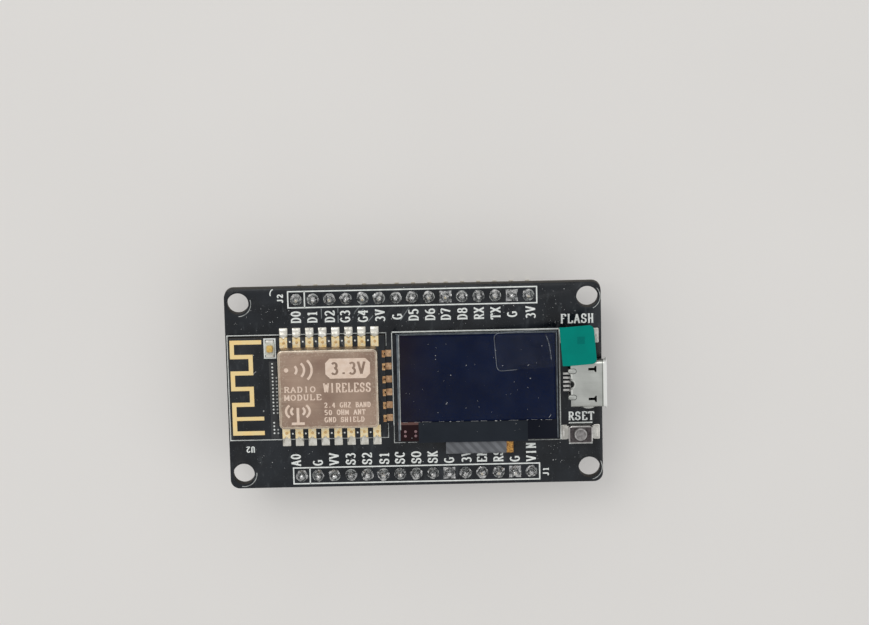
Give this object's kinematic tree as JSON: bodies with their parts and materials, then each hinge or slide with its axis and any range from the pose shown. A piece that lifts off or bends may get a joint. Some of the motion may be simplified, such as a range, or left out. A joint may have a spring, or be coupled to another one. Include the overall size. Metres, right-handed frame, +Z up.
{
  "type": "microcontroller development board",
  "caption": "Black microcontroller board on two pin headers, with a shielded radio module and antenna, a small display, a micro USB socket and two push buttons.",
  "frame": {"origin": "centre of the pin grid in the plane of the pins' lower tips, on which the board stands", "axes": "+X along the board towards the USB socket, +Y across it towards the pin row with the D labels, +Z up through the component side"},
  "size_m": [0.0584, 0.0316, 0.0132],
  "materials": {
    "black_mask": "semi-gloss black solder mask on fibreglass laminate",
    "header_plastic": "moulded black strip, slightly rough",
    "pin_brass": "tinned square pins, bright but uneven",
    "shield_can": "drawn nickel-silver can, satin, slightly stained",
    "chip_plastic": "moulded epoxy, fine matt grain",
    "crystal_case": "seam-welded lid, satin",
    "led_resin": "cast resin on a white base",
    "foam_tape": "double-sided foam tape",
    "display_glass": "polished glass with a dark backing",
    "polarizer": "smooth dark blue-black film",
    "driver_die": "bare silicon strip, semi-gloss",
    "flex_film": "polyimide film over copper tracks",
    "clear_film": "thin clear protective film",
    "teal_film": "thin teal plastic tab",
    "usb_steel": "stamped, plated steel, satin",
    "usb_plastic": "moulded insulator",
    "button_plastic": "moulded body on plated terminals",
    "button_steel": "folded steel cover",
    "plunger_plastic": "moulded round plunger",
    "dome_steel": "thin spring-steel dome",
    "solder": "reflowed tin solder, bright and uneven",
    "gold_plating": "thin immersion gold on copper",
    "label_ink": "white printed legend ink",
    "black_tape": "thin black adhesive tape",
    "chip_ceramic": "sintered ceramic chip capacitors and resistors"
  },
  "bodies": {
    "board": {"main_board": "black_mask", "header_base_back": "header_plastic", "header_base_front": "header_plastic", "radio_board": "black_mask", "radio_shield_can": "shield_can", "radio_soc_chip": "chip_plastic", "radio_flash_chip": "chip_plastic", "radio_crystal": "crystal_case", "radio_led": "led_resin", "oled_mounting_tape": "foam_tape", "oled_rear_glass": "display_glass", "oled_front_glass": "display_glass", "oled_polarizer": "polarizer", "oled_driver_chip": "driver_die", "oled_flex_cable": "flex_film", "screen_film": "clear_film", "film_pull_tab": "teal_film", "usb_shell": "usb_steel", "usb_tongue": "usb_plastic", "flash_button_base": "button_plastic", "flash_button_cover": "button_steel", "flash_button_dome": "dome_steel", "reset_button_base": "button_plastic", "reset_button_cover": "button_steel", "reset_button_dome": "dome_steel", "usb_serial_chip": "chip_plastic", "voltage_regulator": "chip_plastic", "auto_reset_transistor": "chip_plastic", "pin_back_01_d0": "pin_brass", "pin_back_02_d1": "pin_brass", "pin_back_03_d2": "pin_brass", "pin_back_04_g3": "pin_brass", "pin_back_05_g4": "pin_brass", "pin_back_06_3v": "pin_brass", "pin_back_07_gnd": "pin_brass", "pin_back_08_d5": "pin_brass", "pin_back_09_d6": "pin_brass", "pin_back_10_d7": "pin_brass", "pin_back_11_d8": "pin_brass", "pin_back_12_rx": "pin_brass", "pin_back_13_tx": "pin_brass", "pin_back_14_gnd": "pin_brass", "pin_back_15_3v": "pin_brass", "pin_front_01_a0": "pin_brass", "pin_front_02_gnd": "pin_brass", "pin_front_03_vv": "pin_brass", "pin_front_04_s3": "pin_brass", "pin_front_05_s2": "pin_brass", "pin_front_06_s1": "pin_brass", "pin_front_07_sc": "pin_brass", "pin_front_08_so": "pin_brass", "pin_front_09_sk": "pin_brass", "pin_front_10_gnd": "pin_brass", "pin_front_11_3v": "pin_brass", "pin_front_12_en": "pin_brass", "pin_front_13_rs": "pin_brass", "pin_front_14_gnd": "pin_brass", "pin_front_15_vin": "pin_brass"},
    "flash_plunger": {"flash_button_plunger": "plunger_plastic"},
    "reset_plunger": {"reset_button_plunger": "plunger_plastic"}
  },
  "joints": [
    {"name": "flash_press", "type": "slide", "parent": "board", "child": "flash_plunger", "axis": [0, 0, -1], "range_m": [0, 0.00025], "stiffness_N_per_m": 5000, "deforming": ["flash_button_dome"]},
    {"name": "reset_press", "type": "slide", "parent": "board", "child": "reset_plunger", "axis": [0, 0, -1], "range_m": [0, 0.00025], "stiffness_N_per_m": 5000, "deforming": ["reset_button_dome"]}
  ]
}
